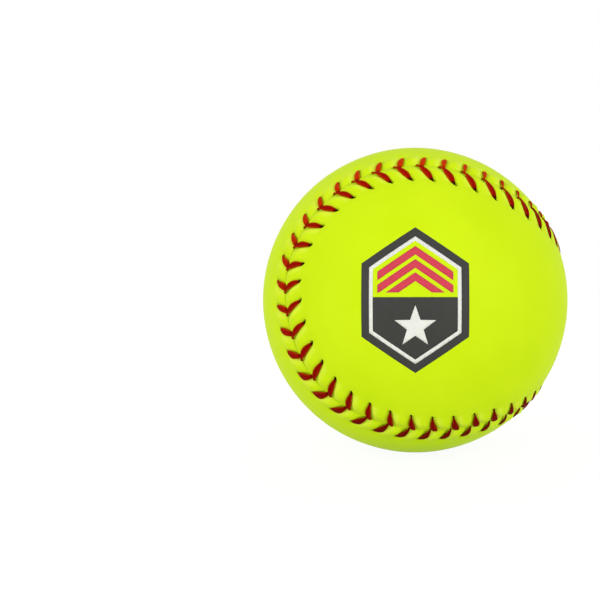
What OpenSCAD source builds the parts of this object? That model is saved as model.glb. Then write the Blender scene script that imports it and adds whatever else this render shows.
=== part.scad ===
// A twelve-inch softball: a wound ball under two sewn cover panels.
// The origin is the middle of the ball. +Z is up and the front print faces -Y.

/* [Ball] */
// Length of a tape laid once round the cover
circumference = 304.8; // [279:0.1:356]
// Thickness of the leather cover
cover_t = 1.3; // [1:0.05:2]
// Thickness of the cement between the cover and the rubber coat
cement_t = 0.6; // [0.4:0.05:1]
// Thickness of the rubber coat over the winding
coat_t = 0.6; // [0.3:0.05:1.5]
// Diameter of the core that the yarn is wound on
core_d = 68; // [50:1:80]

/* [Seam] */
// Angle from the middle of a panel's neck to the seam beside it
neck_angle = 23.7; // [20:0.1:28]
// How far the seam swings to fill out the lobes, as an angle
lobe_swing = 22; // [18:0.1:26]
// Turn of the whole seam about X, then Y, then Z
seam_turn = [1.4, 9.7, 20.1]; // [-180:0.1:180]
// Gap between the edges of the two panels
seam_gap = 0.2; // [0.1:0.05:0.4]

/* [Stitches] */
// Number of V stitches, an even number
stitches = 88; // [80:2:96]
// Distance from the middle of a neck to the first V, along the seam
first_stitch = 4.6; // [0:0.1:5]
// Distance from the seam to the needle holes
hole_out = 6.3; // [5:0.1:7]
// How far the needle holes lie behind the point of their V
hole_back = 2.4; // [2:0.1:3.4]
// Diameter of a needle hole
hole_d = 1.3; // [1.1:0.05:1.6]
// Diameter of the thread where it passes through the cover
thread_d = 0.8; // [0.6:0.05:0.9]
// Width of the thread where it lies pulled flat on the cover
leg_w = 1.75; // [1.2:0.05:2]
// Thickness of the thread where it lies on the cover
leg_t = 0.75; // [0.5:0.05:1]

/* [Prints] */
// Thickness of a print's ink
ink_t = 0.06; // [0.03:0.01:0.1]
// Width of the front badge
badge_w = 26; // [20:0.5:30]
// Height of the front badge
badge_h = 35.5; // [28:0.5:38]
// Width of the badge's dark rim
rim_w = 1.9; // [0.8:0.1:2.5]
// Width of the pale line inside the rim
line_w = 0.9; // [0.4:0.1:1.2]
// Size of the badge's star, from tip to tip
star_d = 10.5; // [8:0.5:12]
// Number of chevrons above the star
chevrons = 3; // [2:1:4]
// Height of a chevron's stripe
chevron_w = 2.1; // [1:0.1:2.5]
// Bare cover round each chevron
chevron_gap = 1.1; // [0.5:0.1:1.5]
// Size of the burst on the other panel, from tip to tip
burst_d = 26; // [20:1:30]
// Length of the bar under the burst
bar_l = 36; // [24:1:38]
// Width of the bar under the burst
bar_w = 4.6; // [3:0.1:6]
// How far the burst's side of the ball leans from the middle of its lobe
burst_lean = 12.6; // [-30:0.1:30]
// Turn of the burst and its bar on their lobe
burst_turn = 4; // [-180:1:180]

/* [Hidden] */
$fn = 120;

// Clearance of the thread from what it passes
rub = 0.05;
// Distance by which a cut runs past what it cuts
overrun = 1;

ball_r = circumference / (2 * PI);
cement_r = ball_r - cover_t;
coat_r = cement_r - cement_t;
winding_r = coat_r - coat_t;
core_r = core_d / 2;

// The seam in its own axes: panel A's neck is at +X and its lobes are at +Y and -Y.
// The turn runs from 0 to 720 degrees once round the seam, and each 180 is a quarter.
quarter_turn = 180;
function seam_polar(turn) = 90 - (90 - neck_angle) * cos(turn);
function seam_around(turn) = turn / 2 + lobe_swing * sin(2 * turn);
function seam_point(turn) = [
    cos(seam_polar(turn)),
    -sin(seam_polar(turn)) * sin(seam_around(turn)),
    sin(seam_polar(turn)) * cos(seam_around(turn))
];
function unit(v) = v / norm(v);
function seam_along(turn) = unit(seam_point(turn + 1) - seam_point(turn - 1));

// Length of the seam from the middle of a neck to each degree of a quarter
quarter_table = [
    for (i = 0, run = 0; i <= quarter_turn;
         run = run + ball_r * norm(seam_point(i + 1) - seam_point(i)), i = i + 1)
    [run, i]
];
quarter_l = quarter_table[quarter_turn][0];
seam_l = 4 * quarter_l;
pitch = seam_l / stitches;

function seam_turn_at(s) =
    let (quarter = floor(s / quarter_l))
    quarter * quarter_turn + lookup(s - quarter * quarter_l, quarter_table);

// The direction from the ball's middle to a place s along the seam and w to panel A's side
function seam_place(s, w) =
    let (
        turn = seam_turn_at(s),
        point = seam_point(turn),
        side = cross(point, seam_along(turn)),
        angle = 180 / PI * w / ball_r
    )
    cos(angle) * point + sin(angle) * side;

// Where the two threads of a V go down, before and behind its point
dive_step = thread_d + 3 * rub;
slot_half_l = dive_step / 2 + thread_d / 2 + rub;
slot_half_w = thread_d / 2 + 2 * rub;
slot_taper = slot_half_w;

function stitch_s(k) = first_stitch + k * pitch;
function dive_s(k, side) = stitch_s(k) + side * dive_step / 2;
function hole_s(k) = stitch_s(k) - hole_back;

// The places where a panel's edge is set, with its distance from the middle of the seam
edge_places = [
    for (k = [0 : stitches - 1], place = [
        [-slot_half_l - slot_taper, seam_gap / 2],
        [-slot_half_l, slot_half_w],
        [slot_half_l, slot_half_w],
        [slot_half_l + slot_taper, seam_gap / 2]
    ])
    [stitch_s(k) + place[0], place[1]]
];
// The edge of a cement patch stops clear of the holes
cement_inset = hole_out + hole_d;
cement_places = [
    for (i = [0 : 2 * stitches - 1]) [i * pitch / 2, cement_inset]
];
// How far out the region of a panel reaches, in ball radii
region_reach_share = 2;

// All directions on one panel's side of the seam, as a solid from the ball's middle out.
// The edge is joined across the panel in pairs, starting from the place numbered first.
module panel_region(places, side, first) {
    count = len(places);
    edge = [
        for (place = places)
        region_reach_share * ball_r * seam_place(place[0], side * place[1])
    ];
    walls = [
        for (i = [0 : count - 1]) [count, (i + 1) % count, i]
    ];
    near = [for (j = [0 : count / 2]) (first - j + count) % count];
    far = [for (j = [0 : count / 2]) (first + j) % count];
    lid_near = [
        for (j = [0 : count / 2 - 1]) if (j > 0) [near[j], far[j], near[j + 1]]
    ];
    lid_far = [
        for (j = [0 : count / 2 - 1]) if (j < count / 2 - 1) [far[j], far[j + 1], near[j + 1]]
    ];
    faces = concat(walls, lid_near, lid_far);
    polyhedron(
        points = concat(edge, [[0, 0, 0]]),
        faces = side < 0 ? faces : [for (face = faces) [face[0], face[2], face[1]]],
        convexity = 8
    );
}

// Everything between two radii
module shell(outer_r, inner_r) {
    difference() {
        sphere(r = outer_r);
        sphere(r = inner_r);
    }
}

// Turns what points along +Z to point along a direction
module aim(direction) {
    rotate([0, acos(direction[2]), atan2(direction[1], direction[0])])
        children();
}

module needle_holes(side) {
    for (k = [0 : stitches - 1])
        aim(seam_place(hole_s(k), side * hole_out))
            translate([0, 0, cement_r - overrun])
                cylinder(h = cover_t + 2 * overrun, d = hole_d);
}

module cover_panel(side, first) {
    rotate(seam_turn)
        difference() {
            intersection() {
                shell(ball_r, cement_r);
                panel_region(edge_places, side, first);
            }
            needle_holes(side);
        }
}

module cement(side, first) {
    rotate(seam_turn)
        intersection() {
            shell(cement_r, coat_r);
            panel_region(cement_places, side, first);
        }
}

// A thread lies straight between two places under the cover, so its ends lie higher there
thread_sides = 6;
under_r = coat_r + cement_t / 2;
under_lift = pow(norm([hole_out, pitch - hole_back]), 2) / (16 * under_r);
under_t = (cement_t - 2 * under_lift - 2 * rub) / cos(180 / thread_sides);
under_end_r = under_r + under_lift;

// The thread's run for one stitch: along the seam, across it, radius, width, thickness.
// It comes up its hole, lies over the cover, goes down in the seam and turns below it.
leg_shares = [0.1, 0.46, 0.82];
leg_w_shares = [0.62, 1, 0.66];
leg_t_shares = [0.7, 1, 0.85];
function run_between(a, b, share) = a + (b - a) * share;
function stitch_run(k, side) =
    let (hole = hole_s(k), dive = dive_s(k, side), out = side * hole_out)
    concat(
        [
            [hole, out, under_end_r, thread_d, under_t],
            [hole, out, ball_r - 2 * rub, thread_d, thread_d * leg_t_shares[0]]
        ],
        [
            for (i = [0 : len(leg_shares) - 1])
            [
                run_between(hole, dive, leg_shares[i]),
                run_between(out, 0, leg_shares[i]),
                ball_r + rub + leg_t * leg_t_shares[i] / 2,
                leg_w * leg_w_shares[i],
                leg_t * leg_t_shares[i]
            ]
        ],
        [
            [dive, side * thread_d / 3, ball_r + thread_d / 2 - rub, thread_d, thread_d],
            [dive, 0, ball_r, thread_d, thread_d],
            [dive, 0, under_end_r, thread_d, under_t]
        ]
    );

// Where a thread's two ends stop under the cover, on the way to its first hole
tail_share = 0.35;

function strand_side(strand, k) = (k + strand) % 2 == 0 ? 1 : -1;
function strand_run(strand) =
    let (
        side = strand_side(strand, 0),
        from = [dive_s(-1, -side), 0, under_end_r, thread_d, under_t],
        to = [hole_s(0), side * hole_out, under_end_r, thread_d, under_t],
        once = [seam_l, 0, 0, 0, 0]
    )
    concat(
        [run_between(from, to, 1 - tail_share)],
        [for (k = [0 : stitches - 1]) each stitch_run(k, strand_side(strand, k))],
        [run_between(from, to, tail_share) + once]
    );

// A bend is widened to keep the thread's thickness round it, up to this share
bend_limit_share = 0.6;

// One thread as a tube of flattened rings that follows its run
module strand(number) {
    run = strand_run(number);
    last = len(run) - 1;
    middle = [for (place = run) place[2] * seam_place(place[0], place[1])];
    step = [for (i = [0 : last - 1]) unit(middle[i + 1] - middle[i])];
    rings = [
        for (i = [0 : last])
        let (
            before = step[max(i - 1, 0)],
            after = step[min(i, last - 1)],
            ahead = unit(before + after),
            along = seam_along(seam_turn_at(run[i][0])),
            across = unit(along - (along * ahead) * ahead),
            up = cross(ahead, across) / max(ahead * after, bend_limit_share)
        )
        [
            for (j = [0 : thread_sides - 1])
            middle[i]
                + cos(360 * j / thread_sides) * run[i][3] / 2 * across
                + sin(360 * j / thread_sides) * run[i][4] / 2 * up
        ]
    ];
    sides = [
        for (i = [0 : last - 1], j = [0 : thread_sides - 1])
        let (
            a = i * thread_sides + j,
            b = i * thread_sides + (j + 1) % thread_sides
        )
        each [[a, a + thread_sides, b], [b, a + thread_sides, b + thread_sides]]
    ];
    start_cap = [for (j = [1 : thread_sides - 2]) [0, j, j + 1]];
    end_cap = [
        for (j = [1 : thread_sides - 2])
        [for (corner = [0, j + 1, j]) last * thread_sides + corner]
    ];
    rotate(seam_turn)
        polyhedron(
            points = [for (ring = rings) each ring],
            faces = concat(sides, start_cap, end_cap),
            convexity = 10
        );
}

// The badge is a tall hexagon, drawn upright about its own middle
function badge_corners(inset) =
    let (
        slope = norm([badge_w / 2, badge_h / 4]),
        tip = badge_h / 2 - 2 * inset * slope / badge_w,
        shoulder = badge_h / 4 + inset * (badge_h / 2 - 2 * slope) / badge_w,
        half_w = badge_w / 2 - inset
    )
    [
        [0, tip], [half_w, shoulder], [half_w, -shoulder],
        [0, -tip], [-half_w, -shoulder], [-half_w, shoulder]
    ];

// A star with its first tip up; the share is its inner radius over its outer one
function star_corners(size, tips, inner_share) = [
    for (i = [0 : 2 * tips - 1])
    let (
        reach = size / 2 * (i % 2 == 0 ? 1 : inner_share),
        angle = 90 + 180 * i / tips
    )
    reach * [cos(angle), sin(angle)]
];

star_tips = 5;
star_inner_share = 0.4;
burst_tips = 8;
burst_inner_share = 0.5;
// Places in the badge, as shares of its height up from its middle
field_top_share = 0.02;
star_place_share = -0.18;
// Places of the burst and its bar, as shares of the burst's size
burst_place_share = 0.12;
bar_place_share = -0.6;

module badge_frame(outer, inner) {
    difference() {
        polygon(badge_corners(outer));
        polygon(badge_corners(inner));
    }
}

module badge_star() {
    translate([0, star_place_share * badge_h])
        polygon(star_corners(star_d, star_tips, star_inner_share));
}

module badge_dark() {
    badge_frame(0, rim_w);
    difference() {
        polygon(badge_corners(rim_w + line_w));
        translate([-badge_w / 2, field_top_share * badge_h])
            square([badge_w, badge_h]);
        badge_star();
    }
}

module badge_pale() {
    badge_frame(rim_w, rim_w + line_w);
    badge_star();
}

// Stripes that run alongside the badge's two top edges, down to the dark field
module badge_chevrons() {
    inset = rim_w + line_w + chevron_gap;
    top = badge_corners(inset)[0][1];
    intersection() {
        polygon(badge_corners(inset));
        translate([-badge_w / 2, field_top_share * badge_h + chevron_gap])
            square([badge_w, badge_h]);
        for (i = [0 : chevrons - 1])
            translate([0, top - i * (chevron_w + chevron_gap)])
                polygon([
                    [0, 0], [badge_w / 2, -badge_h / 4],
                    [badge_w / 2, -badge_h / 4 - chevron_w], [0, -chevron_w],
                    [-badge_w / 2, -badge_h / 4 - chevron_w], [-badge_w / 2, -badge_h / 4]
                ]);
    }
}

module burst() {
    translate([0, burst_place_share * burst_d])
        polygon(star_corners(burst_d, burst_tips, burst_inner_share));
    translate([0, bar_place_share * burst_d])
        polygon([
            [-bar_l / 2, 0], [(bar_w - bar_l) / 2, bar_w / 2], [(bar_l - bar_w) / 2, bar_w / 2],
            [bar_l / 2, 0], [(bar_l - bar_w) / 2, -bar_w / 2], [(bar_w - bar_l) / 2, -bar_w / 2]
        ]);
}

// A film of ink on the cover, of an outline seen from straight above it
module ink() {
    intersection() {
        shell(ball_r + ink_t, ball_r);
        linear_extrude(ball_r + overrun)
            children();
    }
}

module front_print() {
    rotate([90, 0, 0])
        ink()
            children();
}

module back_print() {
    rotate(seam_turn)
        rotate([0, burst_lean, 0])
            rotate(90 + burst_turn)
                ink()
                    children();
}

module core() {
    color("tan")
        sphere(r = core_r);
}

module winding() {
    color("ivory")
        shell(winding_r, core_r);
}

module rubber_coat() {
    color("khaki")
        shell(coat_r, winding_r);
}

module cement_a() {
    color("wheat")
        cement(1, stitches / 2);
}

module cement_b() {
    color("wheat")
        cement(-1, 0);
}

module cover_panel_a() {
    color("#cdee14")
        cover_panel(1, stitches);
}

module cover_panel_b() {
    color("#c8ea10")
        cover_panel(-1, 0);
}

module thread_one() {
    color("#b81808")
        strand(0);
}

module thread_two() {
    color("#c02408")
        strand(1);
}

module front_print_charcoal() {
    color("#3b3b38")
        front_print()
            badge_dark();
}

module front_print_white() {
    color("#f4f4ee")
        front_print()
            badge_pale();
}

module front_print_crimson() {
    color("#d6455a")
        front_print()
            badge_chevrons();
}

module back_print_black() {
    color("#151515")
        back_print()
            burst();
}

core();
winding();
rubber_coat();
cement_a();
cement_b();
cover_panel_a();
cover_panel_b();
thread_one();
thread_two();
front_print_charcoal();
front_print_white();
front_print_crimson();
back_print_black();
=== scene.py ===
import math

import bmesh
import bpy
import numpy as np
from mathutils.geometry import delaunay_2d_cdt
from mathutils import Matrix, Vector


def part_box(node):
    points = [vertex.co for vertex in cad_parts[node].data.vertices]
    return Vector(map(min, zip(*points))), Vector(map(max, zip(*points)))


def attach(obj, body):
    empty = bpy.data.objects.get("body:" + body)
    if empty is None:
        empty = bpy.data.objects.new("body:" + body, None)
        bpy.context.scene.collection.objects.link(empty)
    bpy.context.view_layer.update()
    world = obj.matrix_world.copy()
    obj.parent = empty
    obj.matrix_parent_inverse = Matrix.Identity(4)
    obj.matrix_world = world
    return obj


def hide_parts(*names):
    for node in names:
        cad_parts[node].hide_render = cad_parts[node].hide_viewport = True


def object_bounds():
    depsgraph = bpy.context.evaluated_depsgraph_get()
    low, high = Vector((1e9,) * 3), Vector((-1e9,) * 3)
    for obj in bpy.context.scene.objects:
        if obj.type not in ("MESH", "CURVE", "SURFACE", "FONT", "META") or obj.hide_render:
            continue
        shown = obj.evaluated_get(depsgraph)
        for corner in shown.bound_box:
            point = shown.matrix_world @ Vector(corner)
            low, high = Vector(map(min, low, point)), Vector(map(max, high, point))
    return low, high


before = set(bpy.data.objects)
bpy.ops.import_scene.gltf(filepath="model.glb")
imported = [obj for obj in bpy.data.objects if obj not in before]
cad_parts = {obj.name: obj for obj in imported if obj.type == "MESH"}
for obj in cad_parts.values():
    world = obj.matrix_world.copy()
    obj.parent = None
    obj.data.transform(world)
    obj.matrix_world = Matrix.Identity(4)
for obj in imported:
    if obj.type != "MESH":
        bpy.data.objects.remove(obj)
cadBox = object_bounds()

# Lengths are in metres, and the middle of the ball is the origin
mm = 0.001
random = np.random.default_rng(88)


# Sizes that come from the parts in model.glb

def reach(node, axis):
    low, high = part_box(node)
    return (high[axis] - low[axis]) / 2


ballRadius = reach("cover_panel_a", 1)
coatRadius = reach("rubber_coat", 2)
windingRadius = reach("winding", 2)
coreRadius = reach("core", 2)
leatherThickness = 1.3 * mm
cementRadius = ballRadius - leatherThickness


# Directions and curves

def unit(v):
    return v / np.linalg.norm(v, axis=-1, keepdims=True)


# The turn about X, then Y, then Z
def turnMatrix(x, y, z):
    x, y, z = math.radians(x), math.radians(y), math.radians(z)
    aboutX = np.array([[1, 0, 0], [0, math.cos(x), -math.sin(x)], [0, math.sin(x), math.cos(x)]])
    aboutY = np.array([[math.cos(y), 0, math.sin(y)], [0, 1, 0], [-math.sin(y), 0, math.cos(y)]])
    aboutZ = np.array([[math.cos(z), -math.sin(z), 0], [math.sin(z), math.cos(z), 0], [0, 0, 1]])
    return aboutZ @ aboutY @ aboutX


def smoothStep(x, start, end):
    t = np.clip((x - start) / (end - start), 0, 1)
    return t * t * (3 - 2 * t)


# 1 at nothing and falling off on both sides
def bell(x, half):
    return np.exp(-(x / half) ** 2)


# A smooth curve through rows of values, with cuts steps from each row to the next and round again.
# The first value of a row grows by a lap each time round.
def throughRows(rows, cuts, lap=0):
    before = np.roll(rows, 1, axis=0)
    after = np.roll(rows, -1, axis=0)
    later = np.roll(rows, -2, axis=0)
    before[0, 0] -= lap
    after[-1, 0] += lap
    later[-2:, 0] += lap
    t = (np.arange(cuts) / cuts)[None, :, None]
    rows, before, after, later = (v[:, None] for v in (rows, before, after, later))
    curve = 0.5 * (
        2 * rows + (after - before) * t
        + (2 * before - 5 * rows + 4 * after - later) * t ** 2
        + (3 * rows - before - 3 * after + later) * t ** 3
    )
    return curve.reshape(-1, rows.shape[-1])


# The seam and the places of its stitches. Side 1 is the first panel's, with the upper legs of the
# stitches' Vs, and side -1 the second panel's, with the lower legs.

seam = {
    "neckAngle": 23.7,  # from the middle of a neck to the seam, in degrees
    "lobeSwing": 22.0,  # fills out the lobes, in degrees
    "turn": (1.4, 9.7, 20.1),  # how the ball lies, in degrees
    "stitches": 88,
    "firstStitch": 4.6 * mm,
    "holeBack": 2.4 * mm,  # from a V's place back to its holes
    "holeOut": 6.3 * mm,
    "legEnd": {1: 1.1 * mm, -1: -0.3 * mm},  # from a V's place to its point, and to the lower leg's end
    "bow": {1: -0.37 * mm, -1: 0.08 * mm},  # how far the middle of a leg bends along the seam
    "bowPower": 1.25,  # above 1, a leg bends most on its seam side
}

# A hand-sewn seam wanders. Each list has a value for every fourth stitch from the third on, in
# millimetres: the shift of the seam, how far the holes of the upper and the lower legs lie along
# and across it from their even places, and the legs' ends.
seamWander = {
    "seam": (-3.8, -2.85, -1.25, -1.01, -1.50, -0.17, -1.15, -0.22, -0.95, -0.40),
    "upperAlong": (0, 0.40, -1.38, -1.03, -0.68, -0.28, 0.75, 1.85, 1.02, 0.75),
    "upperAcross": (-2.4, -1.42, 0.05, 0.02, -0.57, 0.64, 0.41, -0.35, -0.55, -0.95),
    "upperEnd": (0, -1.10, -0.70, -0.03, -0.75, -0.51, 0.12, 0.12, -0.05, 0.90),
    "lowerAlong": (0, 0.54, 1.88, 0.36, -0.44, -0.76, -0.11, -0.37, 0.43, 4.66),
    "lowerAcross": (0, -1.20, -0.86, -0.12, 0.08, 0.88, -0.72, 0.16, -0.19, -0.40),
    "lowerEnd": (0, 0.55, 0.10, -0.49, -0.88, -0.76, 0.16, 0.21, -0.74, 0.39),
}

# The legs' own unevenness at the same stitches, as shares: how much wider they are, how much of
# their width lies towards the seam, and their painted light and shade: lighter legs where light
# falls on them, deeper red legs where they lie in shade
legWander = {
    "upperSwell": (0.15, 0.15, 0.10, 0.0, -0.10, -0.08, -0.07, -0.25, -0.17, -0.40),
    "upperSkew": (-0.3, -0.80, -1.00, -0.72, -0.58, -0.22, -0.20, 0.16, 0.52, 0.25),
    "upperPaintedLight": (-0.5, -0.75, -0.10, 0.05, -0.10, -0.20, -0.40, -0.55, -0.80, -0.90),
    "lowerSwell": (-0.25, -0.60, -0.34, -0.19, -0.25, -0.20, 0.50, 0.22, 0.08, -0.50),
    "lowerSkew": (0, -0.10, -0.42, 0.16, 0.22, 0.50, -0.66, -0.72, -0.70, -0.20),
    "lowerPaintedLight": (0.0, 0.05, 0.90, 1.00, 0.80, 0.20, -0.35, -1.00, -1.00, -0.90),
}
knotFirst, knotEvery = 2, 4  # the stitch of the first value, and stitches from one value to the next
knotCuts = 64

seamAxes = turnMatrix(*seam["turn"])


# The direction to the seam at a turn of its curve, which closes after 720 degrees
def seamPoint(turn):
    polar = np.radians(90 - (90 - seam["neckAngle"]) * np.cos(np.radians(turn)))
    around = np.radians(turn / 2 + seam["lobeSwing"] * np.sin(np.radians(2 * turn)))
    local = np.stack([
        np.cos(polar),
        -np.sin(polar) * np.sin(around),
        np.sin(polar) * np.cos(around),
    ], axis=-1)
    return local @ seamAxes.T


seamTurns = np.linspace(0, 720, 2881)  # in quarters of a degree
seamSteps = np.linalg.norm(np.diff(seamPoint(seamTurns), axis=0), axis=-1) * ballRadius
seamRuns = np.concatenate([[0], np.cumsum(seamSteps)])
seamLength = seamRuns[-1]
pitch = seamLength / seam["stitches"]
print("seam", round(seamLength / mm, 1), "mm long, a stitch every", round(pitch / mm, 2), "mm")

wander = {key: np.array(values) * mm for key, values in seamWander.items()}
wander.update({key: np.array(values) for key, values in legWander.items()})
wanderRows = np.zeros((seam["stitches"] // knotEvery, len(wander)))
wanderRows[:len(wander["seam"])] = np.column_stack(list(wander.values()))
wanderCurves = dict(zip(wander, throughRows(wanderRows, knotCuts).T))
wanderStitches = knotFirst + np.arange(len(wanderRows) * knotCuts) * knotEvery / knotCuts
wanderPlaces = seam["firstStitch"] + wanderStitches * pitch


def drift(s, name):
    return np.interp(s, wanderPlaces, wanderCurves[name], period=seamLength)


def legDrift(s, side, name):
    return drift(s, ("upper" if side > 0 else "lower") + name)


# The direction to a place s along the seam and w to the first panel's side
def direction(s, w):
    turn = np.interp(np.mod(s, seamLength), seamRuns, seamTurns)
    point = seamPoint(turn)
    side = np.cross(point, unit(seamPoint(turn + 0.5) - seamPoint(turn - 0.5)))
    angle = ((w + drift(s, "seam")) / ballRadius)[..., None]
    return np.cos(angle) * point + np.sin(angle) * side


# Where the holes near s lie: along from their V's place, and out from the seam
def holePlace(s, side):
    along = legDrift(s, side, "Along") - seam["holeBack"]
    out = seam["holeOut"] + side * (legDrift(s, side, "Across") - drift(s, "seam"))
    return along, out


def legEnd(s, side):
    return seam["legEnd"][side] + legDrift(s, side, "End")


# How far a leg lies along from its V's place, a share of the way from its hole to the seam
def legAlong(s, share, side):
    bow = seam["bow"][side] * np.sin(math.pi * np.clip(share, 0, 1) ** seam["bowPower"])
    return holePlace(s, side)[0] * (1 - share) + legEnd(s, side) * share + bow


def wrap(s):
    return s - pitch * np.round(s / pitch)


# Even places along the whole seam
def evenPlaces(count):
    return np.arange(count) * seamLength / count


# Objects and meshes

def addObject(name, data):
    made = bpy.data.objects.new(name, data)
    bpy.context.scene.collection.objects.link(made)
    return made


# A piece of the ball from a closed mesh. Its marks and its flow are values at its points for the
# material, and outward turns all its faces out.
def makePiece(name, verts, faces, material, node, marks=None, flow=None, outward=True):
    mesh = bpy.data.meshes.new(name)
    mesh.from_pydata(np.asarray(verts).tolist(), [], faces)
    for mark, values in (marks or {}).items():
        mesh.attributes.new(mark, "FLOAT", "POINT").data.foreach_set("value", np.ravel(values))
    if flow is not None:
        mesh.attributes.new("flow", "FLOAT_VECTOR", "POINT").data.foreach_set("vector", np.ravel(flow))
    if outward:
        work = bmesh.new()
        work.from_mesh(mesh)
        bmesh.ops.recalc_face_normals(work, faces=work.faces)
        work.to_mesh(mesh)
        work.free()
    mesh.shade_smooth()
    mesh.materials.append(material)
    piece = addObject(name, mesh)
    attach(piece, "root")
    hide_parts(node)
    print("made", name, len(mesh.vertices), "points", len(mesh.polygons), "faces")
    return piece


# Quads between closed rows of points that lie one after another
def rowFaces(start, rows, count):
    return [
        (a + i, a + (i + 1) % count, a + count + (i + 1) % count, a + count + i)
        for a in range(start, start + (rows - 1) * count, count)
        for i in range(count)
    ]


def turnsRound(count):
    return 2 * math.pi * np.arange(count) / count


# Closed rings round a line of points, each with its two directions and its half sizes that way
def rings(middle, across, up, halfAcross, halfUp):
    turn = turnsRound(halfAcross.shape[1])
    return (
        middle[:, None]
        + (np.cos(turn) * halfAcross)[..., None] * across[:, None]
        + (np.sin(turn) * halfUp)[..., None] * up[:, None]
    )


# Shader maths

class Shade:
    def __init__(self, tree, socket=None):
        self.tree = tree
        self.socket = socket

    def feed(self, target, value):
        if isinstance(value, Shade):
            self.tree.links.new(value.socket, target)
        else:
            target.default_value = value

    def node(self, kind, settings=None, inputs=None, out=0):
        made = self.tree.nodes.new(kind)
        for key, value in (settings or {}).items():
            setattr(made, key, value)
        for key, value in (inputs or {}).items():
            self.feed(made.inputs[key], value)
        return Shade(self.tree, made.outputs[out])

    def math(self, operation, first, second):
        return self.node("ShaderNodeMath", {"operation": operation}, {0: first, 1: second})

    def __add__(self, other):
        return self.math("ADD", self, other)

    def __mul__(self, other):
        return self.math("MULTIPLY", self, other)

    def __sub__(self, other):
        return self.math("SUBTRACT", self, other)

    def __rsub__(self, other):
        return self.math("SUBTRACT", other, self)

    def __pow__(self, other):
        return self.math("POWER", self, other)

    __radd__ = __add__
    __rmul__ = __mul__

    # This value stretched so that low and high become 0 and 1
    def spread(self, low, high):
        return self.node("ShaderNodeMapRange", {}, {"Value": self, "From Min": low, "From Max": high})

    # From one colour to another as this value goes from 0 to 1
    def blend(self, first, second):
        return self.node("ShaderNodeMix", {"data_type": "RGBA"}, {0: self, 6: first, 7: second}, out=2)

    def coords(self):
        return self.node("ShaderNodeTexCoord", out=3)

    def noise(self, scale, detail=3.0, coords=None):
        inputs = {"Vector": coords or self.coords(), "Scale": scale, "Detail": detail}
        return self.node("ShaderNodeTexNoise", {}, inputs)

    # Round grains, or with out=1 a random colour for each crumb
    def cells(self, scale, feature="SMOOTH_F1", out=0):
        inputs = {"Vector": self.coords(), "Scale": scale}
        return self.node("ShaderNodeTexVoronoi", {"feature": feature}, inputs, out)

    def mark(self, name):
        return self.node("ShaderNodeAttribute", {"attribute_name": name}, out=2)

    def flow(self):
        return self.node("ShaderNodeAttribute", {"attribute_name": "flow"}, out=1)

    # 1 for what the camera sees, also in a gloss or through glass
    def seenRays(self):
        direct, glossy, through = (
            self.node("ShaderNodeLightPath", out=f"Is {kind} Ray")
            for kind in ("Camera", "Glossy", "Transmission")
        )
        return direct + glossy + through

    def bump(self, strength, distance):
        inputs = {"Height": self, "Strength": strength, "Distance": distance}
        return self.node("ShaderNodeBump", {}, inputs)


def linear(red, green, blue):
    def channel(value):
        value /= 255
        return value / 12.92 if value <= 0.04045 else ((value + 0.055) / 1.055) ** 2.4
    return (channel(red), channel(green), channel(blue), 1.0)


# A material with its shader's fixed values set; paint gives what varies over it
def makeMaterial(name, fixed, paint):
    material = bpy.data.materials.new(name)
    material.use_nodes = True
    shader = material.node_tree.nodes["Principled BSDF"]
    for key, value in fixed.items():
        shader.inputs[key].default_value = value
    tree = Shade(material.node_tree)
    for key, value in paint(tree).items():
        tree.feed(shader.inputs[key], value)
    return material


# Cover leather

leather = {
    "colour": linear(207, 238, 17),
    "fresh": linear(212, 241, 23),
    # painted shade in the creases along the seam and under the legs
    "creaseShade": linear(172, 206, 20),
    # lighter stretched leather beside the stitches, partly a painted highlight on the puffs
    "stretched": linear(230, 250, 72),
    # painted shade in the needle holes
    "hole": linear(16, 18, 2),
    "roughness": 0.5,
    "specular": 0.03,
    "patchScale": 60,  # scales are to a metre
    "scuffScale": 900,
    "grainScale": 1500,
    "poreScale": 1050,
    "grainBump": 0.10,
    "grainDepth": 0.08 * mm,
}


def leatherHeight(tree):
    return 0.6 * tree.noise(leather["grainScale"], 4) + 0.4 * tree.cells(leather["poreScale"])


def paintLeather(tree):
    base = tree.noise(leather["patchScale"], 2).spread(0.35, 0.65).blend(leather["colour"], leather["fresh"])
    # Lighter stretched leather, partly a painted highlight on the puffs
    base = tree.mark("stretchAndHighlight").blend(base, leather["stretched"])
    # Painted shade in the creases along the seam and under the legs
    base = tree.mark("creaseShade").blend(base, leather["creaseShade"])
    # Painted shade in the needle holes
    base = tree.mark("hole").blend(base, leather["hole"])
    scuffs = tree.noise(leather["scuffScale"]) - 0.5
    return {
        "Base Color": base,
        "Roughness": leather["roughness"] + 0.1 * scuffs + 0.2 * tree.mark("creaseShade"),
        "Normal": leatherHeight(tree).bump(leather["grainBump"], leather["grainDepth"]),
    }


leatherMaterial = makeMaterial("coverLeather", {"Specular IOR Level": leather["specular"]}, paintLeather)


# Cover panels

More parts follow.
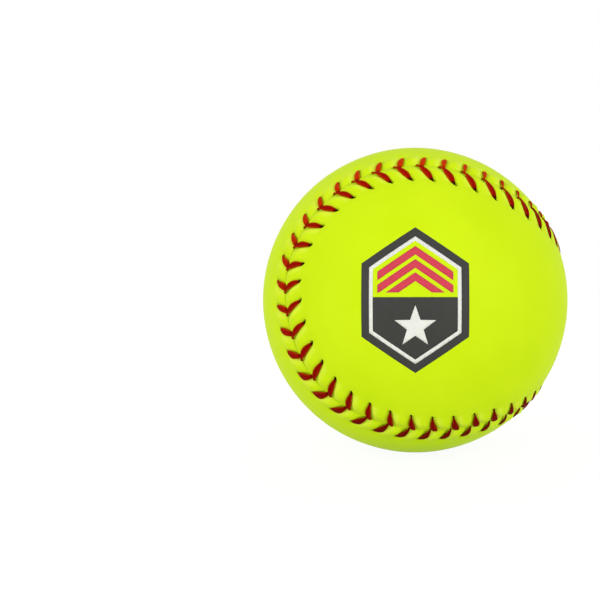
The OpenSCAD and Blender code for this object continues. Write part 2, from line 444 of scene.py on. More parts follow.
panel = {
    "stations": 24,  # along each stitch
    "rollCuts": 7,  # round the edge
    "bandCuts": 28,  # from the edge over the sewn band
    "bandSpread": 1.1,  # above 1, they lie closer at the edge
    "edgeRadius": 0.33 * mm,
    "gap": 0.015 * mm,
    "slotWiden": 0.30 * mm,
    "slotHalf": 0.8 * mm,
    "bandWidth": 9.6 * mm,
    "bandFade": 1.2 * mm,
    "outerLid": (0.5 * mm, 40),  # in from the band, and cuts across
    "innerLid": (1.5 * mm, 16),
    "valleyDepth": 0.42 * mm,
    "valleyWidth": 2.3 * mm,
    "grooveDepth": 0.31 * mm,
    "grooveHalf": 0.95 * mm,
    "grooveEnds": (0.1 * mm, 0.9 * mm),  # how it fades in from the seam, and out at the hole
    # Lighter stretched leather beside each V, partly a painted highlight on the puffs
    "stretchPlace": 1.5 * mm,
    "stretchHalf": 1.0 * mm,
    "stretchAndHighlightTint": 0.65,
    # Painted shade in the creases along the seam and under the legs
    "creaseShadeStrength": 0.35,
    "creaseEnds": (0.05 * mm, 0.5 * mm),
    "puffHeight": 0.56 * mm,
    "puffPlace": 2.9 * mm,
    "puffWidth": 2.2 * mm,
    "puffVaries": 0.12,
    "holeDepth": 1.1 * mm,
    "holeHalf": 0.34 * mm,
    "holeLong": 0.43 * mm,
    "holeInside": 0.55 * mm,
    "holeOpen": 0.9,
    "holeEase": 0.8,  # how much a hole closes where its leg is slim there
    "dimpleDepth": 0.14 * mm,
    "dimpleHalf": 1.9 * mm,
    "wrinkleDepth": 0.05 * mm,
    "wrinklePlace": 1.6 * mm,
    "wrinkleHalf": 1.3 * mm,
    "unevenness": 0.025 * mm,
    "waves": 9,
    "waveTurns": (6, 13),  # radians across a ball radius
}

puffScales = 1 + panel["puffVaries"] * random.uniform(-1, 1, (2, seam["stitches"]))
puffScale = dict(zip((1, -1), puffScales))
waveTurns = unit(random.normal(size=(panel["waves"], 3)))
waveTurns = waveTurns * random.uniform(*panel["waveTurns"], (panel["waves"], 1))
waveStarts = random.uniform(0, 2 * math.pi, panel["waves"])


# How the wound ball's slight unevenness shows on the cover
def unevenness(towards):
    return panel["unevenness"] * np.sin(towards @ waveTurns.T + waveStarts).sum(axis=-1) / 3


# Height of the cover at s along the seam and a out from it, with its marks for the material:
# painted shade in the creases and needle holes, and lighter stretched leather that is partly a painted
# highlight
def relief(s, a, side):
    holeAlong, holeOut = holePlace(s, side)
    share = 1 - a / holeOut
    leg = s - seam["firstStitch"] - legAlong(s, share, side)
    number = np.mod(np.round(leg / pitch), seam["stitches"]).astype(int)
    leg = wrap(leg)
    lean = (holeAlong - seam["legEnd"][side]) / holeOut
    fromHole = wrap(s - seam["firstStitch"] - holeAlong)
    past = a - holeOut + panel["holeInside"]
    opening = panel["holeOpen"] - panel["holeEase"] * legDrift(s, side, "Skew")
    hole = np.hypot((fromHole - lean * past) / panel["holeHalf"], past / panel["holeLong"]) / opening
    hole = np.exp(-hole ** 4)
    dimple = bell(np.hypot(fromHole, past), panel["dimpleHalf"])
    start, deep = panel["grooveEnds"]
    under = smoothStep(a, start, deep) * (1 - smoothStep(a - holeOut, -deep, start))
    groove = bell(leg, panel["grooveHalf"]) * under
    puff = (0.5 - 0.5 * np.cos(2 * math.pi * leg / pitch)) * puffScale[side][number]
    puff = puff * bell(a - panel["puffPlace"], panel["puffWidth"])
    valley = bell(a, panel["valleyWidth"])
    wrinkle = np.cos(2 * math.pi * fromHole / pitch)
    wrinkle = wrinkle * bell(past - panel["wrinklePlace"], panel["wrinkleHalf"])
    height = (
        panel["puffHeight"] * puff
        - panel["grooveDepth"] * groove
        - panel["holeDepth"] * hole
        - panel["dimpleDepth"] * dimple
        - panel["valleyDepth"] * valley
        - panel["wrinkleDepth"] * wrinkle
    )
    # Painted shade in the grooves under the legs and along the seam
    creaseShade = panel["creaseShadeStrength"] * np.maximum(groove, 1 - smoothStep(a, *panel["creaseEnds"]))
    # Lighter stretched leather, partly a painted highlight on the puffs
    stretchAndHighlight = panel["stretchAndHighlightTint"] * (bell(leg - panel["stretchPlace"], panel["stretchHalf"]) * under)
    # The hole mark also paints shade in the needle holes
    return height, {"creaseShade": creaseShade, "hole": hole, "stretchAndHighlight": stretchAndHighlight * (1 - hole)}


# A lid's points: a ring, and great circles with cuts steps that join its points in pairs, one from
# each side of its first point
def lidPoints(ring, first, cuts):
    pairs = np.arange(1, len(ring) // 2)
    near, far = ring[(first - pairs) % len(ring)], ring[(first + pairs) % len(ring)]
    share = np.linspace(0, 1, cuts + 1)[1:-1][None, :, None]
    angle = np.arccos(np.clip((near * far).sum(-1), -1, 1))[:, None, None]
    inner = np.sin((1 - share) * angle) * near[:, None] + np.sin(share * angle) * far[:, None]
    return np.concatenate([ring, unit(inner).reshape(-1, 3)])


# The faces between those points, which are numbered from start
def lidFaces(start, count, first, cuts):
    strips = [
        [start + (first - j) % count]
        + [start + count + (j - 1) * (cuts - 1) + m for m in range(cuts - 1)]
        + [start + (first + j) % count]
        for j in range(1, count // 2)
    ]
    faces = []
    for here, there in zip(strips, strips[1:]):
        faces += [(here[m], here[m + 1], there[m + 1], there[m]) for m in range(cuts)]
    for tip, strip in ((first, strips[0]), (first + count // 2, strips[-1])):
        faces += [(start + tip % count, strip[m], strip[m + 1]) for m in range(cuts)]
    return faces


# The faces from a row with four times as many points, numbered from edge, to a lid's ring
def seamFaces(edge, start, count):
    faces = []
    for i in range(count):
        a, b = start + i, start + (i + 1) % count
        fine = [edge + (4 * i + j) % (4 * count) for j in range(5)]
        faces += [(a, fine[j], fine[j + 1]) for j in (0, 1)] + [(a, fine[2], b)]
        faces += [(b, fine[j], fine[j + 1]) for j in (2, 3)]
    return faces


# A skin on one side of the seam, as a closed mesh. Its rows run beside the seam, each with its
# distances from it and its radii, and a lid joins the first and last row across the skin.
def makeSkin(name, side, distance, radius, lids, material, marks):
    rows, count = distance.shape
    s = evenPlaces(count)
    towards = direction(np.broadcast_to(s, distance.shape), side * distance)
    verts = [(towards * radius[..., None]).reshape(-1, 3)]
    faces = rowFaces(0, rows, count)
    ringCount = count // 4
    first = ringCount // 4 if side > 0 else 0  # a lobe's tip
    for row, inset, cuts, lidRadius in lids:
        start = sum(len(v) for v in verts)
        ring = direction(s[::4], side * (distance[row, ::4] + inset))
        lid = lidPoints(ring, first, cuts)
        verts.append(lid * lidRadius(lid)[:, None])
        faces += seamFaces(row % rows * count, start, ringCount)
        faces += lidFaces(start, ringCount, first, cuts)
    verts = np.concatenate(verts)
    padded = {key: np.pad(value.ravel(), (0, len(verts) - value.size)) for key, value in marks.items()}
    return makePiece(name, verts, faces, material, name, padded)


def coverPanel(name, side):
    s = evenPlaces(seam["stitches"] * panel["stations"])
    edge, width = panel["edgeRadius"], panel["bandWidth"]
    roll = np.radians(np.linspace(0, 90, panel["rollCuts"]))
    flat = edge + (width - edge) * np.linspace(0, 1, panel["bandCuts"])[1:] ** panel["bandSpread"]
    across = np.concatenate([[0], edge * (1 - np.cos(roll)), flat])[:, None]
    drop = np.concatenate([[edge], edge * (1 - np.sin(roll)), 0 * flat])[:, None]
    ends = (legEnd(s, 1) + legEnd(s, -1)) / 2
    slot = np.exp(-(wrap(s - seam["firstStitch"] - ends) / panel["slotHalf"]) ** 4)
    distance = across + (panel["gap"] + panel["slotWiden"] * slot) * (1 - across / width)
    stations = np.broadcast_to(s, distance.shape)
    height, marks = relief(stations, distance, side)
    fade = 1 - smoothStep(distance, width - panel["bandFade"], width)
    radius = ballRadius + unevenness(direction(stations, side * distance)) + height * fade - drop
    radius[0] = cementRadius
    lids = [
        (-1, *panel["outerLid"], lambda towards: ballRadius + unevenness(towards)),
        (0, *panel["innerLid"], lambda towards: np.full(len(towards), cementRadius)),
    ]
    return makeSkin(name, side, distance, radius, lids, leatherMaterial, marks)


coverPanel("cover_panel_a", 1)
coverPanel("cover_panel_b", -1)


# Threads

thread = {
    "colour": linear(172, 8, 0),
    "wearAndGlint": linear(206, 44, 0),  # bright fibre streaks at random, a painted highlight
    "dark": linear(132, 2, 0),
    "paintedLit": linear(214, 58, 0),  # painted light, on legs where light falls on them
    # painted shade, deeper red on legs that lie in shade
    "deep": linear(97, 0, 0),
    # painted highlight, orange on the thread's sides
    "edge": linear(224, 92, 0),
    # painted shade where the thread sinks under the cover into its hole
    "sunkShade": linear(30, 10, 0),
    "sheen": linear(255, 110, 20),
    "roughness": 0.6,
    "specular": 0.02,
    "fibreScale": 9,
    "fibreBump": 0.3,
    "fibreDepth": 0.05 * mm,
    "flowScale": 120,  # to a metre of thread
    "sides": 28,
    "cuts": 3,
    "plies": 7,
    "plyDepth": 0.04,
    "plyTwist": 350,  # radians along a metre
    "varies": (0.03, 0.06, 0.12),  # a leg's lift, swell and lean; lift and lean in millimetres
    "slimmest": 0.15,
    "tailLean": 1.2,  # how much more the lopsided width tells at a V's point
    "tailFrom": 0.75,
    "sunkBetween": (-0.45 * mm, 0.02 * mm),  # heights over the cover
}


def paintThread(tree):
    fibres = tree.noise(thread["fibreScale"], 3, tree.flow())
    base = (fibres + 0.2 * tree.mark("ply")).spread(0.3, 0.8).blend(thread["dark"], thread["colour"])
    # Bright fibre streaks at random: a painted highlight
    base = (0.5 * fibres ** 3).blend(base, thread["wearAndGlint"])
    # Painted light on legs where light falls on them
    base = (0.7 * tree.mark("paintedLit")).blend(base, thread["paintedLit"])
    # Painted shade, deeper red on legs that lie in shade
    base = (0.9 * tree.mark("deep")).blend(base, thread["deep"])
    # Painted highlight on the thread's sides, weaker on the shaded legs
    base = (0.4 * tree.mark("edge") * (1 - 0.6 * tree.mark("deep"))).blend(base, thread["edge"])
    return {
        # Painted shade where the thread sinks into its hole
        "Base Color": tree.mark("sunkShade").blend(base, thread["sunkShade"]),
        "Roughness": thread["roughness"] + 0.2 * (fibres - 0.5),
        "Normal": fibres.bump(thread["fibreBump"], thread["fibreDepth"]),
    }


threadMaterial = makeMaterial(
    "waxedThread", {"Specular IOR Level": thread["specular"], "Specular Tint": thread["sheen"]}, paintThread)

# One stitch of a thread on each side, from its hole to the seam: share of the way, height over the
# cover, width and thickness. The last three values are in millimetres.
legPlaces = {
    1: [
        (0.09, -1.72, 0.80, 0.42),
        (0.09, -1.00, 0.70, 0.60),
        (0.10, -0.42, 0.68, 0.62),
        (0.20, -0.06, 1.00, 0.58),
        (0.38, 0.14, 1.62, 0.62),
        (0.56, 0.20, 2.02, 0.66),
        (0.72, 0.22, 1.87, 0.66),
        (0.87, 0.14, 1.28, 0.60),
        (0.98, -0.10, 0.68, 0.50),
        (1.02, -0.80, 0.50, 0.60),
        (1.00, -1.70, 0.80, 0.42),
    ],
    -1: [
        (0.09, -1.72, 0.80, 0.42),
        (0.09, -1.00, 0.70, 0.60),
        (0.10, -0.42, 0.72, 0.62),
        (0.22, -0.05, 1.14, 0.58),
        (0.42, 0.12, 1.65, 0.60),
        (0.62, 0.15, 1.80, 0.62),
        (0.82, 0.12, 1.67, 0.60),
        (1.00, 0.00, 1.50, 0.56),
        (1.07, -0.40, 1.20, 0.55),
        (1.02, -1.10, 0.80, 0.60),
        (1.00, -1.70, 0.80, 0.42),
    ],
}


# The route of a thread, which changes sides at every V: along and out from the seam, radius, width,
# thickness and painted light and shade
def strandRows(strand):
    rows = []
    for k in range(seam["stitches"]):
        side = 1 if (k + strand) % 2 == 0 else -1
        point = seam["firstStitch"] + k * pitch
        lift, swell, lean = random.uniform(-1, 1, 3) * thread["varies"]
        swell += legDrift(point, side, "Swell")
        skew = legDrift(point, side, "Skew")
        # The leg's painted light and shade: lighter where light falls on it, deeper red where it lies in
        # shade
        paintedLight = legDrift(point, side, "PaintedLight")
        tail = thread["tailLean"] if side > 0 else 0
        out = holePlace(point - seam["holeBack"], side)[1]
        for share, height, width, thickness in legPlaces[side]:
            loose = math.sin(math.pi * min(share, 1))
            lopsided = skew * (2 * share - 1 + tail * smoothStep(share, thread["tailFrom"], 1))
            rows.append((
                point + legAlong(point, share, side) + lean * loose * mm,
                side * out * (1 - share),
                ballRadius + (height + lift * loose) * mm,
                width * max(thread["slimmest"], 1 + swell + lopsided) * mm,
                thickness * mm,
                paintedLight,
            ))
    return np.array(rows)


def makeStrand(name, strand):
    route = throughRows(strandRows(strand), thread["cuts"], seamLength)
    s, out, radius, width, thickness, paintedLight = route.T
    middle = direction(s, out) * radius[:, None]
    ahead = unit(np.roll(middle, -1, axis=0) - np.roll(middle, 1, axis=0))
    along = direction(s + 0.1 * mm, out) - direction(s - 0.1 * mm, out)
    across = unit(along - (along * ahead).sum(-1, keepdims=True) * ahead)
    up = np.cross(ahead, across)
    steps = np.linalg.norm(np.diff(middle, axis=0), axis=-1)
    length = np.concatenate([[0], np.cumsum(steps)])[:, None]
    turn = turnsRound(thread["sides"])
    ply = np.cos(thread["plies"] * turn + thread["plyTwist"] * length)
    half = 0.5 * (1 + thread["plyDepth"] * (ply - 1))
    points = rings(middle, across, up, width[:, None] * half, thickness[:, None] * half)
    flow = np.stack(np.broadcast_arrays(np.cos(turn), np.sin(turn), length * thread["flowScale"]), axis=-1)
    marks = {
        "ply": ply,
        # painted shade where the thread sinks below the cover
        "sunkShade": 1 - smoothStep(radius - ballRadius, *thread["sunkBetween"])[:, None],
        # a painted highlight on the thread's sides
        "edge": np.abs(np.cos(turn)) ** 3,
        # painted light and painted shade of each leg
        "paintedLit": np.clip(paintedLight, 0, 1)[:, None],
        "deep": np.clip(-paintedLight, 0, 1)[:, None],
    }
    marks = {key: np.broadcast_to(values, ply.shape) for key, values in marks.items()}
    rows, sides = ply.shape
    faces = rowFaces(0, rows, sides)
    last = (rows - 1) * sides
    faces += [(last + i, last + (i + 1) % sides, (i + 1) % sides, i) for i in range(sides)]
    return makePiece(name, points.reshape(-1, 3), faces, threadMaterial, name, marks, flow)


makeStrand("thread_one", 0)
makeStrand("thread_two", 1)


# Round pieces of the inside

def globe(fineness):
    work = bmesh.new()
    bmesh.ops.create_icosphere(work, subdivisions=fineness, radius=1)
    towards = unit(np.array([vert.co for vert in work.verts]))
    faces = np.array([[vert.index for vert in face.verts] for face in work.faces])
    work.free()
    return towards, faces


# A round piece as a closed mesh. Its outside has a radius and a mark for each direction, and it is
# hollow down to an inner radius if that is given.
def makeGlobe(name, fineness, outside, hollow, material, markName):
    towards, faces = globe(fineness)
    radius, shown = outside(towards)
    verts = towards * radius[:, None]
    if hollow:
        verts = np.concatenate([verts, towards * hollow])
        faces = np.concatenate([faces, faces[:, ::-1] + len(towards)])
        shown = np.concatenate([shown, 0 * shown])
    marks = {markName: shown}
    return makePiece(name, verts, faces.tolist(), material, name, marks, outward=not hollow)


def scattered(count):
    return unit(random.normal(size=(count, 3)))


# How near each direction passes to a great circle round any of the axes, from 0 to 1
def nearCircles(towards, axes, half, radius):
    return bell(np.abs(towards @ axes.T).min(axis=1) * radius, half)


# Core

core = {
    "cork": linear(176, 128, 78),
    "rubber": linear(58, 46, 38),
    "fineness": 7,
    "crumbs": 1500,
    "crumbDepth": 0.35 * mm,
    "flashHeight": 0.25 * mm,
    "flashHalf": 0.6 * mm,
    "crumbScale": 560,
    "grainScale": 1400,
    "grainBump": 0.4,
    "grainDepth": 0.1 * mm,
    "roughness": 0.8,
}


# Crumbs that meet in furrows, with the mould's flash round the middle
def coreOutside(towards):
    crumbs = scattered(core["crumbs"])
    parts = np.array_split(towards, 64)  # each with its two nearest crumbs
    best = np.concatenate([np.sort(part @ crumbs.T, axis=1)[:, -2:] for part in parts])
    second, nearest = np.arccos(np.clip(best, -1, 1)).T
    apart = nearest / np.maximum(second, 1e-6)
    flash = nearCircles(towards, np.array([[0, 0, 1]]), core["flashHalf"], coreRadius)
    dent = core["crumbDepth"] * apart ** 3 + core["flashHeight"] * (1 - flash)
    return coreRadius - dent, apart


def paintCore(tree):
    pick = tree.node("ShaderNodeSeparateColor", {}, {0: tree.cells(core["crumbScale"], "F1", out=1)})
    return {
        "Base Color": pick.spread(0.45, 0.55).blend(core["cork"], core["rubber"]),
        "Roughness": core["roughness"] + 0.1 * tree.mark("crumb"),
        "Normal": tree.noise(core["grainScale"], 4).bump(core["grainBump"], core["grainDepth"]),
    }


coreMaterial = makeMaterial("corkAndRubber", {}, paintCore)
makeGlobe("core", core["fineness"], coreOutside, 0, coreMaterial, "crumb")


# Rubber coat, drawn into ridges by the yarn under it

coat = {
    "colour": linear(206, 186, 132),
    "thin": linear(226, 214, 176),
    "fineness": 7,
    "ridges": 170,
    "ridgeHeight": 0.22 * mm,
    "ridgeHalf": 0.6 * mm,
    "streakScale": 200,
    "grainScale": 700,
    "grainBump": 0.2,
    "grainDepth": 0.1 * mm,
    "roughness": 0.34,
}


def coatOutside(towards):
    ridge = nearCircles(towards, scattered(coat["ridges"]), coat["ridgeHalf"], coatRadius)
    return coatRadius - coat["ridgeHeight"] * (1 - ridge), ridge


def paintCoat(tree):
    return {
        "Base Color": tree.mark("ridge").blend(coat["colour"], coat["thin"]),
        "Roughness": coat["roughness"] + 0.2 * (tree.noise(coat["streakScale"]) - 0.5),
        "Normal": tree.noise(coat["grainScale"], 3).bump(coat["grainBump"], coat["grainDepth"]),
    }


coatMaterial = makeMaterial("latexCoat", {}, paintCoat)
makeGlobe("rubber_coat", coat["fineness"], coatOutside, windingRadius, coatMaterial, "ridge")


# Yarn winding

yarn = {
    "colour": linear(222, 216, 198),
    "shade": linear(168, 158, 138),
    "turns": 230,
    "steps": 56,  # to each turn
    "sides": 6,
    "width": 1.25 * mm,
    "thickness": 0.75 * mm,
    "layers": 1.6 * mm,
    "creep": 0.3781,  # radians that each turn swings on
    "shellFineness": 5,
    "flowScale": 90,  # to a metre of yarn
    "shellScale": 20,
    "fibreScale": 14,
    "fibreBump": 0.6,
    "fibreDepth": 0.1 * mm,
    "roughness": 0.9,
}


def paintYarn(tree):
    fibres = tree.noise(yarn["fibreScale"], 4, tree.flow())
    return {
        "Base Color": fibres.spread(0.3, 0.7).blend(yarn["shade"], yarn["colour"]),
        "Roughness": yarn["roughness"] - 0.1 * fibres,
        "Normal": fibres.bump(yarn["fibreBump"], yarn["fibreDepth"]),
    }


# One yarn, wound round and round on a shell of its first layers, while its plane swings on and
# tips over
def windYarn():
    sides = yarn["sides"]
    count = yarn["turns"] * yarn["steps"]
    done = np.linspace(0, 1, count)
    turn = 2 * math.pi * np.arange(count) / yarn["steps"]
    swing = yarn["creep"] * turn / (2 * math.pi)
    tip = np.arccos(1 - done)
    flat = np.column_stack([np.cos(turn), np.sin(turn) * np.cos(tip), np.sin(turn) * np.sin(tip)])
    towards = np.column_stack([
        np.cos(swing) * flat[:, 0] - np.sin(swing) * flat[:, 1],
        np.sin(swing) * flat[:, 0] + np.cos(swing) * flat[:, 1],
        flat[:, 2],
    ])
    radius = windingRadius - yarn["thickness"] / 2 - yarn["layers"] * (1 - done)
    middle = towards * radius[:, None]
    ahead = unit(np.gradient(middle, axis=0))
    across = unit(np.cross(towards, ahead))
    half = np.ones((count, sides)) / 2
    points = rings(middle, across, towards, half * yarn["width"], half * yarn["thickness"]).reshape(-1, 3)
    faces = rowFaces(0, count, sides)
    faces += [tuple(range(sides)), tuple(range(sides * count - 1, sides * (count - 1) - 1, -1))]
    length = np.repeat(turn * windingRadius, sides)
    around = np.tile(turnsRound(sides), count)
    flow = np.column_stack([np.cos(around), np.sin(around), length * yarn["flowScale"]])
    towards, shell = globe(yarn["shellFineness"])
    layers = windingRadius - yarn["thickness"] - yarn["layers"]
    for radius, tiles in ((layers, shell), (coreRadius, shell[:, ::-1])):
        faces += (tiles + len(points)).tolist()
        points = np.concatenate([points, towards * radius])
        flow = np.concatenate([flow, towards * yarn["shellScale"]])
    return points, faces, flow


yarnMaterial = makeMaterial("woundYarn", {}, paintYarn)
yarnPoints, yarnFaces, yarnFlow = windYarn()
makePiece("winding", yarnPoints, yarnFaces, yarnMaterial, "winding",
          flow=yarnFlow, outward=False)


# Cement, brushed on the rubber coat

cement = {
    "colour": linear(224, 212, 170),
    "thick": linear(204, 184, 122),
    "stations": 8,  # along each stitch
    "edge": 7.6 * mm,  # out from the seam, clear of the holes
    "uneven": 0.5 * mm,
    "brim": ((0, 0), (0, 0.5), (0.3, 0.9), (1.2, 1), (2.4, 1)),  # millimetres in, and share of the height
    "edgeWaves": (900, 317),  # waves are radians along a metre
    "brushWaves": (2300, 4000),
    "brushDepth": 0.06 * mm,
    "strokes": 6,  # how much closer they lie than the ball's own waves
    "outerLid": (0.8 * mm, 40),
    "innerLid": (1.5 * mm, 16),
    "brushScale": 300,
    "bump": 0.3,
    "bumpDepth": 0.2 * mm,
    "roughness": 0.3,
}


def paintCement(tree):
    brushed = tree.noise(cement["brushScale"], 4)
    return {
        "Base Color": brushed.spread(0.3, 0.7).blend(cement["thick"], cement["colour"]),
        "Roughness": cement["roughness"] + 0.2 * brushed,
        "Normal": brushed.bump(cement["bump"], cement["bumpDepth"]),
    }


def brushedTop(towards):
    strokes = np.sin(towards @ waveTurns.T * cement["strokes"]).mean(axis=1)
    return cementRadius - cement["brushDepth"] * (0.5 + 0.5 * strokes)


def makeCement(name, side):
    s = evenPlaces(seam["stitches"] * cement["stations"])
    across, rise = np.array(cement["brim"]).T[..., None]
    across = across * mm
    coarse, fine = cement["edgeWaves"]
    wave = np.sin(s[None] * coarse + np.sin(s[None] * fine) * 2 + side)
    distance = cement["edge"] + cement["uneven"] * (1 + wave) / 2 + across
    along, out = cement["brushWaves"]
    brushed = cement["brushDepth"] * (0.5 + 0.5 * np.sin(s[None] * along + across * out))
    radius = coatRadius + (cementRadius - coatRadius - brushed) * rise
    lids = [
        (-1, *cement["outerLid"], brushedTop),
        (0, *cement["innerLid"], lambda towards: np.full(len(towards), coatRadius)),
    ]
    return makeSkin(name, side, distance, radius, lids, cementMaterial, {})


cementMaterial = makeMaterial("driedCement", {}, paintCement)
makeCement("cement_a", 1)
makeCement("cement_b", -1)


# Prints

ink = {
    "thickness": 0.045 * mm,
    "depth": 0.02 * mm,  # how far the film reaches into the leather's grain
    "step": 0.9 * mm,
    "edgeStep": 0.6,  # shares of a step, along a loop and from row to row
    "rowStep": 0.87,
    "wornScale": 420,
    "specular": 0.2,
    "roughness": 0.55,
    "colours": {
        "charcoal": (57, 57, 54),
        "white": (238, 238, 230),
        "crimson": (214, 62, 82),
        "black": (20, 20, 20),
    },
}


def makeInk(colour):
    fresh = ink["colours"][colour]
    faded = [0.94 * channel + 6 for channel in fresh]

    def paint(tree):
        wearAndGlint = tree.noise(ink["wornScale"], 5).spread(0.3, 0.75)
        return {
            "Base Color": wearAndGlint.blend(linear(*fresh), linear(*faded)),
            "Roughness": ink["roughness"] + 0.1 * (tree.noise(leather["scuffScale"]) - 0.5),
            "Normal": leatherHeight(tree).bump(0.6 * leather["grainBump"], leather["grainDepth"]),
        }
    return makeMaterial(colour + "Ink", {"Specular IOR Level": ink["specular"]}, paint)


# Which of the points a loop goes round
def inside(points, loop):
    x, y = points[:, :1], points[:, 1:]
    (x0, y0), (x1, y1) = np.array(loop).T, np.roll(loop, -1, axis=0).T
    crossed = (y0 > y) != (y1 > y)
    with np.errstate(divide="ignore", invalid="ignore"):
        left = x < (x1 - x0) * (y - y0) / (y1 - y0) + x0
    return (crossed & left).sum(axis=1) % 2 == 1


# The loops' points, at short steps, and the edges between them
def loopEdges(loops):
    points, edges = [], []
    for loop in loops:
        for a, b in zip(np.array(loop), np.roll(loop, -1, axis=0)):
            steps = max(2, math.ceil(np.linalg.norm(b - a) / (ink["edgeStep"] * ink["step"])))
            start = len(points)
            points += [a + (b - a) * i / steps for i in range(steps + 1)]
            edges += [(start + i, start + i + 1) for i in range(steps)]
    return points, edges


# The triangles, drawn flat, that fill what keep picks between the loops
def inkTiles(loops, keep):
    points, edges = loopEdges(loops)
    low, high = np.min(points, axis=0), np.max(points, axis=0)
    for j, y in enumerate(np.arange(low[1], high[1], ink["step"] * ink["rowStep"])):
        points += [(x + j % 2 * ink["step"] / 2, y) for x in np.arange(low[0], high[0], ink["step"])]
    flat, _, tiles, *_ = delaunay_2d_cdt([tuple(p / mm) for p in np.array(points)], edges, [], 0, 1e-4)
    flat = np.array(flat) * mm
    tiles = np.array(tiles)
    tiles = tiles[keep(flat[tiles].mean(axis=1))]
    used, tiles = np.unique(tiles, return_inverse=True)
    return flat[used], tiles.reshape(-1, 3)


# A film of ink that follows the cover, cut to loops drawn flat and seen from straight above
def makeFilm(name, loops, keep, axes, colour):
    flat, tiles = inkTiles(loops, keep)
    towards = np.column_stack([flat, np.sqrt(ballRadius ** 2 - (flat ** 2).sum(axis=1))])
    towards = unit(towards) @ axes.T
    cover = ballRadius + unevenness(towards)
    verts = np.concatenate([
        towards * (cover + ink["thickness"])[:, None],
        towards * (cover - ink["depth"])[:, None],
    ])
    sides = np.concatenate([tiles[:, [0, 1]], tiles[:, [1, 2]], tiles[:, [2, 0]]])
    _, which, times = np.unique(np.sort(sides), axis=0, return_index=True, return_counts=True)
    rim = sides[which[times == 1]]
    faces = tiles.tolist() + (tiles[:, ::-1] + len(flat)).tolist()
    faces += np.column_stack([rim[:, ::-1], rim + len(flat)]).tolist()
    return makePiece(name, verts, faces, makeInk(colour), name)


def starCorners(size, tips, innerShare, y):
    angles = [math.pi / 2 + math.pi * i / tips for i in range(2 * tips)]
    reaches = [size / 2 * (1 if i % 2 == 0 else innerShare) for i in range(2 * tips)]
    return [(r * math.cos(a), y + r * math.sin(a)) for r, a in zip(reaches, angles)]


# The front print: a six-sided badge with a dark border and field, a pale line and star, and chevrons

badge = {
    "width": 26 * mm,
    "height": 35.5 * mm,
    "rim": 1.9 * mm,
    "line": 0.9 * mm,
    "star": 10.5 * mm,
    "starTips": 5,
    "starInner": 0.4,
    "starPlace": -0.18,  # places are shares of the height
    "fieldTop": 0.02,
    "chevrons": 3,
    "chevron": 2.1 * mm,
    "chevronGap": 1.1 * mm,
}


def badgeCorners(inset):
    width, height = badge["width"], badge["height"]
    slope = math.hypot(width / 2, height / 4)
    tip = height / 2 - 2 * inset * slope / width
    shoulder = height / 4 + inset * (height / 2 - 2 * slope) / width
    x = width / 2 - inset
    return [(0, tip), (x, shoulder), (x, -shoulder), (0, -tip), (-x, -shoulder), (-x, shoulder)]


# A loop with one side right across the badge at height y
def badgeLine(y):
    x = badge["width"] / 2
    return [(-x, y), (x, y), (0, y - 0.5 * badge["height"])]


lineInset = badge["rim"] + badge["line"]
chevronInset = lineInset + badge["chevronGap"]
fieldTop = badge["fieldTop"] * badge["height"]
bareTop = fieldTop + badge["chevronGap"]
outerLoop, rimLoop, lineLoop = badgeCorners(0), badgeCorners(badge["rim"]), badgeCorners(lineInset)
chevronEdge = badgeCorners(chevronInset)
starPlace = badge["starPlace"] * badge["height"]
star = starCorners(badge["star"], badge["starTips"], badge["starInner"], starPlace)


def chevronLoop(number):
    thick = badge["chevron"]
    tip = chevronEdge[0][1] - number * (thick + badge["chevronGap"])
    x, y = badge["width"] / 2, badge["height"] / 4
    return [
        (0, tip), (x, tip - y), (x, tip - y - thick),
        (0, tip - thick), (-x, tip - y - thick), (-x, tip - y),
    ]


chevronLoops = [chevronLoop(i) for i in range(badge["chevrons"])]


def inDark(p):
    border = inside(p, outerLoop) & ~inside(p, rimLoop)
    field = inside(p, lineLoop) & (p[:, 1] < fieldTop) & ~inside(p, star)
    return border | field


def inPale(p):
    return inside(p, rimLoop) & ~inside(p, lineLoop) | inside(p, star)


def inChevrons(p):
    stripes = np.any([inside(p, loop) for loop in chevronLoops], axis=0)
    return stripes & inside(p, chevronEdge) & (p[:, 1] > bareTop)


frontAxes = turnMatrix(90, 0, 0)
makeFilm("front_print_charcoal", [outerLoop, rimLoop, lineLoop, star, badgeLine(fieldTop)],
         inDark, frontAxes, "charcoal")
makeFilm("front_print_white", [rimLoop, lineLoop, star], inPale, frontAxes, "white")
makeFilm("front_print_crimson", [chevronEdge, badgeLine(bareTop), *chevronLoops],
         inChevrons, frontAxes, "crimson")


# The print on the other panel: a burst over a bar

burst = {
    "size": 26 * mm,
    "place": 0.12,  # places are shares of its size
    "tips": 8,
    "innerShare": 0.5,
    "barPlace": -0.6,
    "barLength": 36 * mm,
    "barWidth": 4.6 * mm,
    "lean": 12.6,  # both in degrees
    "turn": 4,
}


def barCorners(length, width, y):
    x, half = length / 2, width / 2
    return [
        (-x, y), (half - x, y + half), (x - half, y + half),
        (x, y), (x - half, y - half), (half - x, y - half),
    ]


def inBurst(p):
    return inside(p, burstLoop) | inside(p, barLoop)


burstPlace, barPlace = burst["place"] * burst["size"], burst["barPlace"] * burst["size"]
burstLoop = starCorners(burst["size"], burst["tips"], burst["innerShare"], burstPlace)
barLoop = barCorners(burst["barLength"], burst["barWidth"], barPlace)
backAxes = seamAxes @ turnMatrix(0, burst["lean"], 0) @ turnMatrix(0, 0, 90 + burst["turn"])
makeFilm("back_print_black", [burstLoop, barLoop], inBurst, backAxes, "black")


# Floor, light and camera

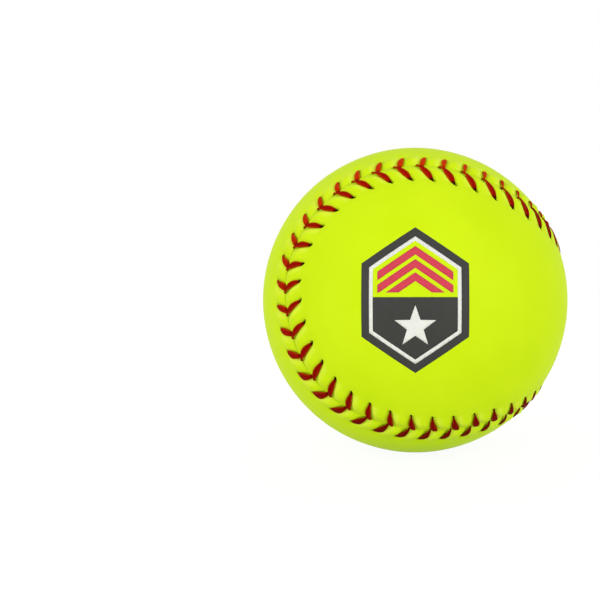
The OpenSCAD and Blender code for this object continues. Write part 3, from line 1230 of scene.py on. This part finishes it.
stage = {
    "floorReach": 6.0,
    "floorColour": (0.87, 0.87, 0.87, 1),
    "floorGlow": 0.93,
    "floorShade": (0.12, 0.12, 0.12, 1),
    "white": (1, 1, 1, 1),
    "ambient": 0.62,
    "backdrop": 1.0,
    "lamps": {  # power, size and place
        "key": (0.3, 0.4, (-0.42, -0.62, 0.62)),
        "left": (4.7, 0.7, (-0.86, -0.66, 0.06)),
        "right": (7.2, 0.7, (0.75, -0.81, -0.04)),
        "front": (1.0, 1.0, (0, -1.1, -0.02)),
    },
}

r = stage["floorReach"]
floorMesh = bpy.data.meshes.new("floor")
floorMesh.from_pydata([(-r, -r, 0), (r, -r, 0), (r, r, 0), (-r, r, 0)], [], [(0, 1, 2, 3)])
floor = addObject("floor", floorMesh)
floor.location.z = cadBox[0][2]

floorMaterial = bpy.data.materials.new("floor")
floorMaterial.use_nodes = True
floorMesh.materials.append(floorMaterial)
tree = Shade(floorMaterial.node_tree)
plain = tree.node("ShaderNodeBsdfDiffuse", {}, {"Color": stage["floorColour"]})
glow = tree.node("ShaderNodeEmission", {}, {"Color": stage["white"], "Strength": stage["floorGlow"]})
shaded = tree.node("ShaderNodeBsdfDiffuse", {}, {"Color": stage["floorShade"]})
seen = tree.node("ShaderNodeAddShader", {}, {0: glow, 1: shaded})
shown = tree.node("ShaderNodeMixShader", {}, {0: tree.seenRays(), 1: plain, 2: seen})
tree.feed(floorMaterial.node_tree.nodes["Material Output"].inputs["Surface"], shown)

world = bpy.data.worlds.new("studio")
bpy.context.scene.world = world
world.use_nodes = True
tree = Shade(world.node_tree)
soft = tree.node("ShaderNodeBackground", {}, {"Color": stage["white"], "Strength": stage["ambient"]})
backdrop = tree.node("ShaderNodeBackground", {}, {"Color": stage["white"], "Strength": stage["backdrop"]})
shown = tree.node("ShaderNodeMixShader", {}, {0: tree.seenRays(), 1: soft, 2: backdrop})
tree.feed(world.node_tree.nodes["World Output"].inputs["Surface"], shown)

for name, (power, size, spot) in stage["lamps"].items():
    lampData = bpy.data.lights.new(name, "AREA")
    lampData.energy = power
    lampData.size = size
    lamp = addObject(name, lampData)
    lamp.location = spot
    lamp.rotation_euler = (-lamp.location).to_track_quat("-Z", "Y").to_euler()

# The ball's middle and radius in the photograph, in its pixels, and the camera's distance in ball radii
photo = {"x": 415.3, "y": 300.1, "radius": 152.4, "width": 600, "distance": 3.5}
sensorWidth = 36
lensPixels = photo["radius"] * math.sqrt(photo["distance"] ** 2 - 1)
cameraData = bpy.data.cameras.new("camera")
cameraData.sensor_width = sensorWidth
cameraData.lens = sensorWidth * lensPixels / photo["width"]
cameraData.shift_x = 0.5 - photo["x"] / photo["width"]
cameraData.shift_y = photo["y"] / photo["width"] - 0.5
cameraData.clip_start = 0.01
camera = addObject("camera", cameraData)
camera.location = (0, -photo["distance"] * ballRadius, 0)
camera.rotation_euler = (math.radians(90), 0, 0)
bpy.context.scene.camera = camera
print("lit by", len(stage["lamps"]), "lamps and framed")

bpy.context.scene.view_settings.view_transform = "Standard"
